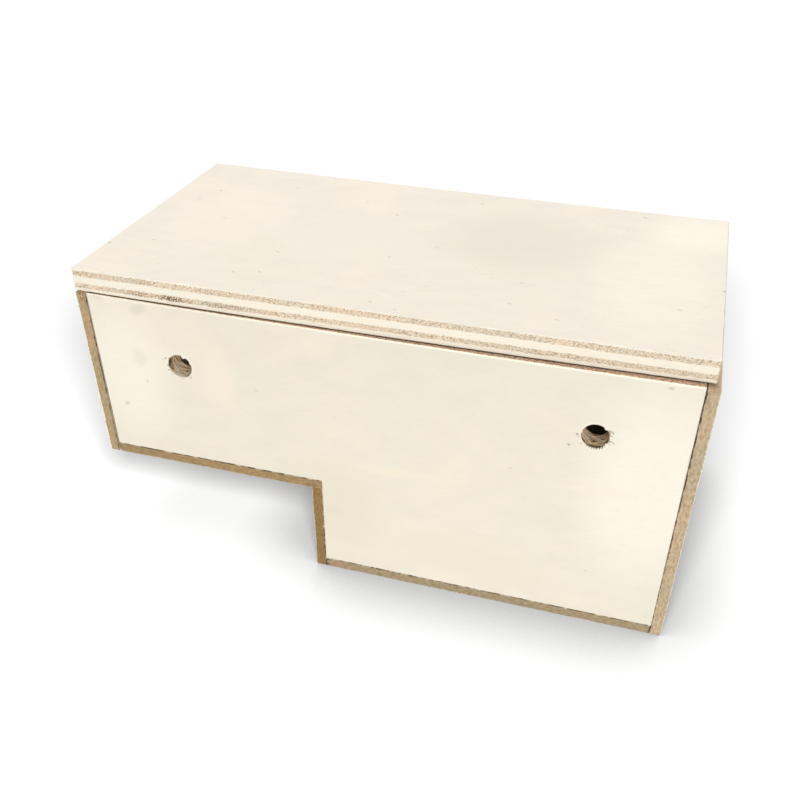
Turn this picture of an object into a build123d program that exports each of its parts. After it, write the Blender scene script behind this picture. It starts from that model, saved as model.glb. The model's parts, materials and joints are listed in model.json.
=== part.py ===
# Bird nest box: an L-shaped plywood box with a shallow entrance end and a deep nest end.
# Two thick side panels are wrapped by thin strips, which are bradded to the panels' edges,
# and a thick lid opens on two small butt hinges.
# X runs along the box from the shallow end to the deep end, Y from the side panel with the
# two small holes to the side panel with the entrance, and Z is up. The origin is the middle
# of the foot under the nest, on the surface that the box stands on. Lengths are in mm.

import os
from math import acos, ceil, degrees

from build123d import *

os.makedirs("parts", exist_ok=True)

# Sheet plywood
panel_thickness = 9.0
strip_thickness = 4.4
lid_thickness = 9.0
panel_ease = 0.15
strip_ease = 0.15
lid_ease = 0.2

# Outside of the box, with the entrance end measured down from the top of the walls
entrance_end_length = 92.4
nest_length = 147.6
depth = 126.0
nest_height = 116.0
entrance_end_height = 74.0
end_foot_radius = 1.0

# How loosely the strips were fitted
floor_butt_gap = 0.6
deep_end_drop = 0.8
deep_corner_gap = 0.4

# Lid, cut a little out of square and set a little back
lid_gap = 0.4
lid_overhang_shallow = 0.8
lid_setback_deep = 1.7
lid_front_setback_shallow = 1.3
lid_front_setback_deep = 3.8

# Two holes through the hanging panel
hanging_hole_radius = 4.9
hanging_hole_drop = 25.8
hanging_hole_inset = 40.2
hanging_hole_spacing = 161.9

# Entrance through the far panel
entrance_radius = 21.0
entrance_drop = 33.6
entrance_rim_ease = 0.8

# Butt hinges, each leaf a strip curled round the pin
hinge_inset = 45.0
hinge_length = 25.0
leaf_width = 8.0
leaf_thickness = 0.8
leaf_corner_radius = 1.2
pin_radius = 0.8
pin_running_clearance = 0.05
pin_end_length = 0.4
pin_end_chamfer = 0.25
knuckle_count = 5
knuckle_end_play = 0.15
knuckle_notch_clearance = 0.3
curl_opening = 0.12

# Countersunk hinge screws with a cross recess
screw_length = 8.0
screw_radius = 1.1
screw_head_radius = 1.86
screw_point_length = 2.0
screw_pitch = 14.0
screw_row = 5.0
screw_sink = 0.05
screw_clearance = 0.03
countersink_angle = 90.0
recess_span = 2.2
recess_width = 0.5
recess_depth = 0.6
recess_taper = 12.0

# Brads of flattened wire with a T-shaped head, driven just under the surface
brad_length = 15.0
brad_width = 1.25
brad_thickness = 1.0
brad_head_width = 2.0
brad_head_thickness = 0.6
brad_point_length = 1.5
brad_sink = 0.2
brad_clearance = 0.03
brad_end_margin = 16.0
brad_spacing = 45.0

# How far a cut runs past the face that it opens
overrun = 1.0

# Places that follow from the sizes
shallow_x = -nest_length / 2 - entrance_end_length
step_x = -nest_length / 2
deep_x = nest_length / 2
near_y = -depth / 2
far_y = depth / 2
wall_top = nest_height
shallow_bottom = nest_height - entrance_end_height
shallow_floor_top = shallow_bottom + strip_thickness
shallow_floor_length = entrance_end_length - floor_butt_gap
shallow_floor_middle_x = step_x + strip_thickness - shallow_floor_length / 2
shallow_end_middle_z = wall_top - entrance_end_height / 2
nest_floor_length = nest_length - 2 * (strip_thickness + floor_butt_gap)
deep_end_height = nest_height - deep_end_drop
lid_bottom = wall_top + lid_gap

# Side views are drawn on the near face, with X to the right and Z up
near_side = Plane.XZ.offset(-near_y)
far_side = Plane.XZ.offset(-far_y)


# Brad places. Each face is a strip's outer face, with local Y running along the strip

brad_gauge = depth - panel_thickness
shallow_end_face = Plane((shallow_x, 0, shallow_end_middle_z), x_dir=(0, 1, 0), z_dir=(-1, 0, 0))
shallow_floor_origin = (shallow_floor_middle_x, 0, shallow_bottom)
shallow_floor_face = Plane(shallow_floor_origin, x_dir=(0, 1, 0), z_dir=(0, 0, -1))
riser_face = Plane((step_x, 0, shallow_bottom / 2), x_dir=(0, 1, 0), z_dir=(-1, 0, 0))
nest_floor_face = Plane((0, 0, 0), x_dir=(0, 1, 0), z_dir=(0, 0, -1))
deep_end_face = Plane((deep_x, 0, deep_end_height / 2), x_dir=(0, 1, 0), z_dir=(1, 0, 0))


def brad_places(face, run):
    """Places for brads on a strip's outer face: a row over the edge of each side panel."""
    row_length = max(0, run - 2 * brad_end_margin)
    gaps = ceil(row_length / brad_spacing)
    rows = GridLocations(brad_gauge, row_length / max(1, gaps), 2, gaps + 1)
    return [face.location * place for place in rows]


shallow_end_brad_places = brad_places(shallow_end_face, entrance_end_height)
shallow_floor_brad_places = brad_places(shallow_floor_face, shallow_floor_length)
riser_brad_places = brad_places(riser_face, shallow_bottom)
nest_floor_brad_places = brad_places(nest_floor_face, nest_floor_length)
deep_end_brad_places = brad_places(deep_end_face, deep_end_height)
all_brad_places = (
    shallow_end_brad_places
    + shallow_floor_brad_places
    + riser_brad_places
    + nest_floor_brad_places
    + deep_end_brad_places
)

# Hinge and screw places

shallow_hinge_x = shallow_x + hinge_inset
deep_hinge_x = deep_x - hinge_inset
bore_radius = pin_radius + pin_running_clearance
barrel_radius = bore_radius + leaf_thickness
knuckle_pitch = hinge_length / knuckle_count
pin_y = far_y + barrel_radius
pin_z = wall_top + lid_gap / 2
leaf_face_y = far_y + leaf_thickness


def screw_places(row_z):
    """Places for the hinge screws at one height, on the leaves' outer faces."""
    return [
        Plane((hinge_x + side * screw_pitch / 2, leaf_face_y, row_z), z_dir=(0, 1, 0)).location
        for hinge_x in (shallow_hinge_x, deep_hinge_x)
        for side in (-1, 1)
    ]


box_screw_places = screw_places(pin_z - screw_row)
lid_screw_places = screw_places(pin_z + screw_row)


# Features shared by several boards, each cut into the part that is being built


def ease_ends(board, size):
    """Ease the edges round the near and far ends of a board."""
    faces = board.faces().sort_by(Axis.Y)
    chamfer(faces[0].edges() + faces[-1].edges(), size)


def brad_slots(places, width, deep):
    """Cut a slot down from each place, as thick as a brad and as wide as is asked."""
    with Locations(*places):
        Box(
            brad_thickness + 2 * brad_clearance,
            width + 2 * brad_clearance,
            deep,
            align=(Align.CENTER, Align.CENTER, Align.MAX),
            mode=Mode.SUBTRACT,
        )


def punched_brad_slots(places):
    """Cut through a strip for each brad, with a wider mouth for its head."""
    brad_slots(places, brad_head_width, brad_sink + brad_head_thickness)
    brad_slots(places, brad_width, strip_thickness + overrun)


def brad_shank_slots():
    """Cut the slots that every brad's shank makes in a side panel's edges."""
    brad_slots(all_brad_places, brad_width, brad_sink + brad_length + brad_clearance)


def screw_pilot_holes(places):
    """Cut the blind holes that the hinge screws make in the wood behind the leaves."""
    with Locations(*places):
        Hole(screw_radius + screw_clearance, screw_sink + screw_length + screw_clearance)


# Side panels, both cut to the L-shaped outline inside the strips

side_panel_corners = (
    (shallow_x + strip_thickness, wall_top),
    (shallow_x + strip_thickness, shallow_floor_top),
    (step_x + strip_thickness, shallow_floor_top),
    (step_x + strip_thickness, strip_thickness),
    (deep_x - strip_thickness, strip_thickness),
    (deep_x - strip_thickness - deep_corner_gap, wall_top),
)

with BuildPart() as hanging_panel:
    with BuildSketch(near_side):
        with BuildLine():
            Polyline(*side_panel_corners, close=True)
        make_face()
    extrude(amount=-panel_thickness)
    ease_ends(hanging_panel, panel_ease)
    first_hole_x = shallow_x + hanging_hole_inset
    for hole_x in (first_hole_x, first_hole_x + hanging_hole_spacing):
        with Locations(Plane((hole_x, near_y, wall_top - hanging_hole_drop), z_dir=(0, -1, 0))):
            Hole(hanging_hole_radius, panel_thickness + overrun)
    brad_shank_slots()

with BuildPart() as entrance_panel:
    with BuildSketch(far_side):
        with BuildLine():
            Polyline(*side_panel_corners, close=True)
        make_face()
    extrude(amount=panel_thickness)
    ease_ends(entrance_panel, panel_ease)
    entrance_x = (shallow_x + strip_thickness + step_x) / 2
    with Locations(Plane((entrance_x, far_y, wall_top - entrance_drop), z_dir=(0, 1, 0))):
        Hole(entrance_radius, panel_thickness + overrun)
    chamfer(entrance_panel.edges().filter_by(GeomType.CIRCLE), entrance_rim_ease)
    brad_shank_slots()
    screw_pilot_holes(box_screw_places)

# Thin strips that wrap the side panels' edges and run right across the box

with BuildPart() as shallow_end_panel:
    with BuildSketch(near_side) as section:
        with Locations((shallow_x + strip_thickness / 2, shallow_end_middle_z)):
            Rectangle(strip_thickness, entrance_end_height)
        outer_foot = section.vertices().group_by(Axis.Y)[0].sort_by(Axis.X)[0]
        fillet(outer_foot, end_foot_radius)
    extrude(amount=-depth)
    ease_ends(shallow_end_panel, strip_ease)
    punched_brad_slots(shallow_end_brad_places)

with BuildPart() as shallow_floor:
    with BuildSketch(near_side):
        with Locations((shallow_floor_middle_x, shallow_bottom + strip_thickness / 2)):
            Rectangle(shallow_floor_length, strip_thickness)
    extrude(amount=-depth)
    ease_ends(shallow_floor, strip_ease)
    punched_brad_slots(shallow_floor_brad_places)

with BuildPart() as step_riser:
    with BuildSketch(near_side):
        with Locations((step_x + strip_thickness / 2, shallow_bottom / 2)):
            Rectangle(strip_thickness, shallow_bottom)
    extrude(amount=-depth)
    ease_ends(step_riser, strip_ease)
    punched_brad_slots(riser_brad_places)

with BuildPart() as nest_floor:
    with BuildSketch(near_side):
        with Locations((0, strip_thickness / 2)):
            Rectangle(nest_floor_length, strip_thickness)
    extrude(amount=-depth)
    ease_ends(nest_floor, strip_ease)
    punched_brad_slots(nest_floor_brad_places)

with BuildPart() as deep_end_panel:
    with BuildSketch(near_side) as section:
        with Locations((deep_x - strip_thickness / 2, deep_end_height / 2)):
            Rectangle(strip_thickness, deep_end_height)
        outer_foot = section.vertices().group_by(Axis.Y)[0].sort_by(Axis.X)[-1]
        fillet(outer_foot, end_foot_radius)
    extrude(amount=-depth)
    ease_ends(deep_end_panel, strip_ease)
    punched_brad_slots(deep_end_brad_places)

# Lid

with BuildPart() as lid:
    with BuildSketch(Plane.XY.offset(lid_bottom)):
        with BuildLine():
            Polyline(
                (shallow_x - lid_overhang_shallow, near_y + lid_front_setback_shallow),
                (deep_x - lid_setback_deep, near_y + lid_front_setback_deep),
                (deep_x - lid_setback_deep, far_y),
                (shallow_x - lid_overhang_shallow, far_y),
                close=True,
            )
        make_face()
    extrude(amount=lid_thickness)
    chamfer(lid.edges(), lid_ease)
    screw_pilot_holes(lid_screw_places)

# Hinges. A leaf's profile is drawn square to the pin, with local Y from the pin to its tip


def hinge_leaf(hinge_x, side, own_first_knuckle, places):
    """A leaf with its knuckles curled round the pin; side is 1 for up and -1 for down."""
    profile_plane = Plane((hinge_x, pin_y, pin_z), x_dir=(0, 1, 0), z_dir=(side, 0, 0))
    curl_radius = bore_radius + leaf_thickness / 2
    curl_angle = 360 - degrees(acos((bore_radius - curl_opening) / barrel_radius))
    notch_top = barrel_radius + knuckle_notch_clearance
    notch_bottom = -barrel_radius - overrun
    with BuildPart() as leaf:
        with BuildSketch(profile_plane):
            with BuildLine():
                Line((-curl_radius, leaf_width), (-curl_radius, 0))
                CenterArc((0, 0), curl_radius, 180, curl_angle)
            trace(line_width=leaf_thickness)
        extrude(amount=hinge_length / 2, both=True)
        tip_corners = leaf.edges().filter_by(Axis.Y).group_by(Axis.Z)[-1 if side > 0 else 0]
        fillet(tip_corners, leaf_corner_radius)
        for knuckle in range(1 - own_first_knuckle, knuckle_count, 2):
            knuckle_middle = (knuckle - (knuckle_count - 1) / 2) * knuckle_pitch
            with Locations(profile_plane):
                with Locations((0, (notch_top + notch_bottom) / 2, knuckle_middle)):
                    Box(
                        2 * (barrel_radius + overrun),
                        notch_top - notch_bottom,
                        knuckle_pitch + knuckle_end_play,
                        mode=Mode.SUBTRACT,
                    )
        with Locations(*places):
            CounterSinkHole(
                screw_radius + screw_clearance,
                screw_head_radius + screw_sink + screw_clearance,
                leaf_thickness + overrun,
                countersink_angle,
            )
    return leaf


def hinge_pin(hinge_x):
    """The pin through one hinge's knuckles, with its ends just proud of them."""
    with BuildPart() as pin:
        with BuildSketch(Plane((hinge_x, pin_y, pin_z), x_dir=(0, 1, 0), z_dir=(1, 0, 0))):
            Circle(pin_radius)
        extrude(amount=hinge_length / 2 + pin_end_length, both=True)
        chamfer(pin.edges().filter_by(GeomType.CIRCLE), pin_end_chamfer)
    return pin


shallow_hinge_box_leaf = hinge_leaf(shallow_hinge_x, -1, 0, box_screw_places)
shallow_hinge_lid_leaf = hinge_leaf(shallow_hinge_x, 1, 1, lid_screw_places)
shallow_hinge_pin = hinge_pin(shallow_hinge_x)
deep_hinge_box_leaf = hinge_leaf(deep_hinge_x, -1, 0, box_screw_places)
deep_hinge_lid_leaf = hinge_leaf(deep_hinge_x, 1, 1, lid_screw_places)
deep_hinge_pin = hinge_pin(deep_hinge_x)

# Screws and brads, each drawn once with its head at the top and set at its places

with BuildPart() as screw:
    with BuildSketch(Plane.XZ):
        with BuildLine():
            head_height = screw_head_radius - screw_radius
            Polyline(
                (0, -screw_sink),
                (screw_head_radius, -screw_sink),
                (screw_radius, -screw_sink - head_height),
                (screw_radius, screw_point_length - screw_length),
                (0, -screw_length),
                close=True,
            )
        make_face()
    revolve(axis=Axis.Z)
    with BuildSketch(Plane.XY.offset(-screw_sink)):
        Rectangle(recess_span, recess_width)
        Rectangle(recess_width, recess_span)
    extrude(amount=-recess_depth, taper=recess_taper, mode=Mode.SUBTRACT)

with BuildPart() as brad:
    with BuildSketch(Plane.YZ):
        with BuildLine():
            Polyline(
                (0, -brad_sink),
                (brad_head_width / 2, -brad_sink),
                (brad_head_width / 2, -brad_sink - brad_head_thickness),
                (brad_width / 2, -brad_sink - brad_head_thickness),
                (brad_width / 2, brad_point_length - brad_sink - brad_length),
                (0, -brad_sink - brad_length),
            )
            mirror(about=Plane.YZ)
        make_face()
    extrude(amount=brad_thickness / 2, both=True)


def set_at(fastener, places):
    """One fastener repeated at its places, as separate solids."""
    with BuildPart() as group:
        with Locations(*places):
            add(fastener.part)
    return group


box_leaf_screws = set_at(screw, box_screw_places)
lid_leaf_screws = set_at(screw, lid_screw_places)
shallow_end_brads = set_at(brad, shallow_end_brad_places)
shallow_floor_brads = set_at(brad, shallow_floor_brad_places)
riser_brads = set_at(brad, riser_brad_places)
nest_floor_brads = set_at(brad, nest_floor_brad_places)
deep_end_brads = set_at(brad, deep_end_brad_places)

# Write each piece under its own name

pieces = {
    "hanging_panel": hanging_panel,
    "entrance_panel": entrance_panel,
    "shallow_end_panel": shallow_end_panel,
    "shallow_floor": shallow_floor,
    "step_riser": step_riser,
    "nest_floor": nest_floor,
    "deep_end_panel": deep_end_panel,
    "lid": lid,
    "shallow_hinge_box_leaf": shallow_hinge_box_leaf,
    "shallow_hinge_lid_leaf": shallow_hinge_lid_leaf,
    "shallow_hinge_pin": shallow_hinge_pin,
    "deep_hinge_box_leaf": deep_hinge_box_leaf,
    "deep_hinge_lid_leaf": deep_hinge_lid_leaf,
    "deep_hinge_pin": deep_hinge_pin,
    "box_leaf_screws": box_leaf_screws,
    "lid_leaf_screws": lid_leaf_screws,
    "shallow_end_brads": shallow_end_brads,
    "shallow_floor_brads": shallow_floor_brads,
    "riser_brads": riser_brads,
    "nest_floor_brads": nest_floor_brads,
    "deep_end_brads": deep_end_brads,
}

for name, piece in pieces.items():
    piece.part.label = name
    export_step(piece.part, f"parts/{name}.step")
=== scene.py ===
# Bird nest box of plywood: the finish of its boards, the torn rims of its two drilled holes,
# its plated hinges, screws and brads, and a plain studio stage.
# Lengths are in metres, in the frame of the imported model: X along the box from the shallow
# end to the deep end, Y from the drilled panel to the entrance, Z up from the floor.

import json
from math import atan2, degrees, exp, pi, radians, sin
from typing import NamedTuple

import bmesh
import bpy
from bpy.props import FloatProperty, FloatVectorProperty, IntProperty, PointerProperty
from mathutils import Matrix, Vector, noise


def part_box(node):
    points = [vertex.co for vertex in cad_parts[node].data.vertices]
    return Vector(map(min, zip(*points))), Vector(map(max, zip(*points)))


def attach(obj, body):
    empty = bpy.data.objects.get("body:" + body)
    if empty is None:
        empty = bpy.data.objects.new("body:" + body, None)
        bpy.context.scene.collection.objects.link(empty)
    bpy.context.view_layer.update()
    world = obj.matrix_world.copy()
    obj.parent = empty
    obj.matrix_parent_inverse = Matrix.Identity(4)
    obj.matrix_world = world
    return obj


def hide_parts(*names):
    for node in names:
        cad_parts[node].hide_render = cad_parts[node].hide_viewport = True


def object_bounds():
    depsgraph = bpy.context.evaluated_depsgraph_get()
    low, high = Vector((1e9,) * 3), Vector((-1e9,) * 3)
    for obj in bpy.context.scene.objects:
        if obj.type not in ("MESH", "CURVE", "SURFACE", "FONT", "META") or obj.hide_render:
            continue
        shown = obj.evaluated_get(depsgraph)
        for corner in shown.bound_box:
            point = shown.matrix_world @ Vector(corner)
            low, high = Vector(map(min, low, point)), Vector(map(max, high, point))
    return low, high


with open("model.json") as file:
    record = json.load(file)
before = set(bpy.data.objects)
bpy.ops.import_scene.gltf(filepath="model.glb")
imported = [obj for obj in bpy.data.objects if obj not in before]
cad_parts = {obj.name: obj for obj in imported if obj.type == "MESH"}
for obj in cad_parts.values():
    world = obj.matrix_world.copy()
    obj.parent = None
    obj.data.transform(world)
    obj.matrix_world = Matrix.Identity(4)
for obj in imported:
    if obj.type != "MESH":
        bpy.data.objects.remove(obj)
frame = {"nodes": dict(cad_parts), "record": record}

bl_info = {
    "name": "Bird nest box",
    "version": (1, 0, 0),
    "blender": (4, 5, 0),
    "location": "View3D > Sidebar > Nest box",
    "description": "Finishes a plywood nest box with a hinged lid and puts it on a studio floor",
    "category": "Object",
}

MM = 0.001
X, Y, Z = 0, 1, 2
# How far the lid's near edge stands back from the hanging panel at the two ends, in millimetres
SETBACK_SHALLOW = 1.3
SETBACK_DEEP = 3.8
CAD_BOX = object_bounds()
CAMERA_PLACE = (0.04689, -0.33599, 0.27396)
FLOOR_LAMP_PLACE = (0.047, -0.336, 0.316)

# Every board: the axis across its plies, the way its face veneers run, the way its cross plies run
BOARDS = {
    "hanging_panel": (Y, X, Z),
    "entrance_panel": (Y, X, Z),
    "lid": (Z, X, Y),
    "shallow_end_panel": (X, Z, Y),
    "shallow_floor": (Z, X, Y),
    "step_riser": (X, Z, Y),
    "nest_floor": (Z, X, Y),
    "deep_end_panel": (X, Z, Y),
}
STRIPS = ("shallow_end_panel", "shallow_floor", "step_riser", "nest_floor", "deep_end_panel")
LEAVES = (
    "shallow_hinge_box_leaf",
    "shallow_hinge_lid_leaf",
    "deep_hinge_box_leaf",
    "deep_hinge_lid_leaf",
)
PINS = ("shallow_hinge_pin", "deep_hinge_pin")
SCREWS = ("box_leaf_screws", "lid_leaf_screws")
BRADS = (
    "shallow_end_brads",
    "shallow_floor_brads",
    "riser_brads",
    "nest_floor_brads",
    "deep_end_brads",
)


def linear(colour):
    """An sRGB hex colour as linear red, green and blue."""
    shares = [int(colour[i : i + 2], 16) / 255 for i in (1, 3, 5)]
    return tuple(c / 12.92 if c <= 0.04045 else ((c + 0.055) / 1.055) ** 2.4 for c in shares)


def colour_setting(name, description, colour):
    """A colour that can be picked in the panel."""
    return FloatVectorProperty(
        name=name, description=description, subtype="COLOR", size=3, min=0, max=1, default=linear(colour)
    )


def length_setting(name, description, millimetres):
    """A length that can be typed in the panel."""
    return FloatProperty(
        name=name, description=description, unit="LENGTH", min=0, precision=5, default=millimetres * MM
    )


class PlywoodSettings(bpy.types.PropertyGroup):
    """Colours of the plywood, by the way that the wood is cut."""

    panel_face: colour_setting("Panel face", "Sanded face veneer of the side panels", "#f4ecd9")
    lid_face: colour_setting("Lid face", "Sanded face veneer of the lid", "#f2eadb")
    strip_face: colour_setting("Strip face", "Face veneer of the thin strips", "#f1e5cc")
    cool_cloud: colour_setting("Cool cloud", "Greyish green mineral tint in the veneer", "#ecead8")
    warm_cloud: colour_setting("Warm cloud", "Pinkish tint in the veneer", "#fcefdd")
    side_grain: colour_setting("Side grain", "A pale ply cut along its grain, seen on an edge", "#fff7e4")
    end_grain: colour_setting("End grain", "A pale ply cut across its grain", "#dcc5a2")
    edge_lid: colour_setting("Lid's edge", "Brown plies of the lid", "#ead8be")
    edge_hanging_panel: colour_setting("Hanging panel's edge", "Brown plies of that panel", "#b3937a")
    edge_entrance_panel: colour_setting("Entrance panel's edge", "Brown plies of that panel", "#c4a685")
    edge_shallow_end_panel: colour_setting("Shallow end's edge", "Brown ply of that strip", "#b79f7a")
    edge_shallow_floor: colour_setting("Shallow floor's edge", "Brown ply of that strip", "#a48a60")
    edge_step_riser: colour_setting("Riser's edge", "Brown ply of that strip", "#947647")
    edge_nest_floor: colour_setting("Nest floor's edge", "Brown ply of that strip", "#a59474")
    edge_deep_end_panel: colour_setting("Deep end's edge", "Brown ply of that strip", "#c3af90")
    fleck: colour_setting("Fleck", "Short pores and flecks in the face veneer", "#b9ad97")
    torn: colour_setting("Torn fibre", "Raw fibres where the veneer broke away", "#d9c29c")
    groove: colour_setting("Groove", "Glue and dust in the joints between boards", "#3d2c1b")
    wall_dark: colour_setting("Drilled wall, dark", "Scorched grooves in a drilled wall", "#55341a")
    wall_middle: colour_setting("Drilled wall", "Wood of a drilled wall", "#e2c294")
    wall_light: colour_setting("Drilled wall, pale", "Pale ridges of a drilled wall", "#fff3dc")


class EdgeSettings(bpy.types.PropertyGroup):
    """How the boards' long edges are rounded and worn, and how far the boards have moved."""

    rounding: length_setting("Rounding", "Width of the sanded rounding on a sawn edge", 0.06)
    step: length_setting("Step", "Length of the pieces that an edge is cut into", 1.3)
    shortest: length_setting("Shortest", "Edges shorter than this are left as they are", 3.0)
    wear: length_setting("Wear", "How deep an edge is worn at most", 0.1)
    wear_span: length_setting("Wear span", "How long a worn stretch is", 5.0)
    wave: length_setting("Wave", "How deep the saw wandered at most", 0.14)
    wave_span: length_setting("Wave span", "How long one wave of the saw cut is", 34.0)
    chip: length_setting("Chip", "How deep a chip is", 0.22)
    chip_span: length_setting("Chip span", "How long a chip is", 2.0)
    joint: length_setting("Joint", "How far the floor strips reach into the joints at their ends", 0.45)
    drop: length_setting("Drop", "How far the lid's near edge reaches down past its underside", 0.32)
    sag: length_setting("Sag", "How far the lid's front edge hangs down in the middle", 0.65)
    lean: length_setting("Lean", "How far the shallow end's strip stands out at its foot", 0.7)


class HoleSettings(bpy.types.PropertyGroup):
    """The two drilled holes and their torn rims."""

    segments: IntProperty(name="Segments", description="Corners round a hole", min=32, default=208)
    wall_step: length_setting("Wall step", "Height of the rings that a drilled wall is made of", 0.25)
    tear_reach: length_setting("Tear reach", "How far torn veneer reaches out from the rim", 1.9)
    tear_depth: length_setting("Tear depth", "How deep the torn veneer is", 0.35)
    rim_bite: length_setting("Rim bite", "How far broken fibres widen the rim", 0.5)
    ridge: length_setting("Ridge", "Height of the ridges that the drill left in the wall", 0.13)
    ridge_pitch: length_setting("Ridge pitch", "Distance from one ridge to the next", 1.3)
    comb_pitch: length_setting("Comb pitch", "Distance between the fibres of a split lip", 0.9)
    comb_height: length_setting("Comb height", "How deep the split lip goes", 1.4)


class SteelSettings(bpy.types.PropertyGroup):
    """Colours of the small steel parts."""

    plated: colour_setting("Plated steel", "Bright zinc on the hinges and screws", "#c9c8c4")
    pin: colour_setting("Pin steel", "Drawn wire of the hinge pins", "#b4b2ad")
    brad: colour_setting("Brad steel", "Galvanised wire of the brads", "#a9a8a4")


class StageSettings(bpy.types.PropertyGroup):
    """Floor, light and camera."""

    floor: colour_setting("Floor", "Grey of the floor as the box sees it", "#7d7d7d")
    floor_gain: FloatProperty(
        name="Floor gain", description="How far the camera overexposes the floor", min=0, default=1.07
    )
    floor_shade: FloatProperty(
        name="Floor shade", description="Share of the lamp's shadow that the camera sees", default=0.6
    )
    contact: length_setting("Contact shadow", "How far the soft shadow reaches from what stands on it", 46)
    floor_size: length_setting("Floor size", "Side of the square floor", 6000)
    sky: FloatProperty(name="Sky", description="Strength of the even white light", min=0, default=0.45)
    top: FloatProperty(name="Top light", description="Share of the light from overhead", min=0, default=0.45)
    front: FloatProperty(
        name="Front light", description="Share of the light from the front", min=0, default=0.42
    )
    floor_light: FloatProperty(
        name="Floor light", description="Light over the camera, on the floor alone", min=0, default=4.6
    )
    lens: FloatProperty(name="Lens", description="Focal length in millimetres", default=41.187)


class NestBoxSettings(bpy.types.PropertyGroup):
    """All settings of the nest box."""

    plywood: PointerProperty(type=PlywoodSettings)
    edges: PointerProperty(type=EdgeSettings)
    holes: PointerProperty(type=HoleSettings)
    steel: PointerProperty(type=SteelSettings)
    stage: PointerProperty(type=StageSettings)


# Node helpers


def add_node(tree, kind, inputs=(), **settings):
    """Add a shader node, set it up and fill its inputs with values or links."""
    node = tree.nodes.new("ShaderNode" + kind)
    for name, value in settings.items():
        setattr(node, name, value)
    for socket, value in dict(inputs).items():
        if isinstance(value, bpy.types.NodeSocket):
            tree.links.new(value, node.inputs[socket])
        else:
            node.inputs[socket].default_value = value
    return node


def per_mm(size):
    """The scale of a pattern whose features are the given number of millimetres long."""
    return 1 / (size * MM)


def solid(colour):
    """A colour with full alpha."""
    return (*colour, 1)


def compute(tree, operation, a, b=0.0, clamp=False):
    """The result of one sum on two values or sockets."""
    return add_node(tree, "Math", {0: a, 1: b}, operation=operation, use_clamp=clamp).outputs[0]


def spread(tree, value, low, high, to_low=0.0, to_high=1.0):
    """A value taken from one range to another and held inside it, with a soft start and end."""
    node = add_node(
        tree,
        "MapRange",
        {"Value": value, "From Min": low, "From Max": high, "To Min": to_low, "To Max": to_high},
        interpolation_type="SMOOTHSTEP",
    )
    return node.outputs["Result"]


def blend(tree, share, a, b, mode="MIX"):
    """Two colours mixed by a share."""
    node = add_node(tree, "Mix", {0: share, 6: a, 7: b}, data_type="RGBA", blend_type=mode)
    return node.outputs[2]


def grained(tree, vector, sizes, detail=3.0, roughness=0.55, slant=0.0):
    """Noise whose features have the given sizes along X, Y and Z, slanted about Y by an angle."""
    mapped = add_node(
        tree,
        "Mapping",
        {"Vector": vector, "Scale": [size * MM for size in sizes], "Rotation": (0, slant, 0)},
        vector_type="TEXTURE",
    )
    noise_node = add_node(
        tree,
        "TexNoise",
        {"Vector": mapped.outputs[0], "Scale": 1.0, "Detail": detail, "Roughness": roughness},
    )
    return noise_node.outputs["Fac"]


def along(grain, length, width):
    """The sizes of a feature that is drawn out along one axis, as grain is."""
    return [length if axis == grain else width for axis in (X, Y, Z)]


class Mark(NamedTuple):
    """An oval spot on a board: its tone, its place and half sizes in millimetres, its slant in
    degrees in the plane of the board's face, and how strongly it shows."""

    tone: str
    place: tuple
    size: tuple
    slant: float = 0.0
    strength: float = 1.0


def spot(tree, vector, mark, normal_axis):
    """The mark's strength in the middle of the spot, falling to 0 at its outline."""
    turn = [0.0, 0.0, 0.0]
    turn[normal_axis] = radians(mark.slant)
    mapped = add_node(
        tree,
        "Mapping",
        {
            "Vector": vector,
            "Location": [part * MM for part in mark.place],
            "Rotation": turn,
            "Scale": [part * MM for part in mark.size],
        },
        vector_type="TEXTURE",
    )
    distance = add_node(tree, "VectorMath", {0: mapped.outputs[0]}, operation="LENGTH")
    return spread(tree, distance.outputs["Value"], 1.0, 0.25, 0.0, mark.strength)


def new_material(name):
    """An empty node material with its output, and its principled shader."""
    material = bpy.data.materials.new(name)
    material.use_nodes = True
    tree = material.node_tree
    tree.nodes.clear()
    shader = add_node(tree, "BsdfPrincipled")
    output = add_node(tree, "OutputMaterial")
    tree.links.new(shader.outputs[0], output.inputs["Surface"])
    return material, tree, shader


# Plywood

# Ply thicknesses as shares of the sheet, from its low face to its high face
LID_SHARES = (0.11, 0.215, 0.32, 0.25, 0.105)
PANEL_SHARES = (0.1, 0.3, 0.22, 0.28, 0.1)
STRIP_SHARES = (0.045, 0.91, 0.045)

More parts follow.
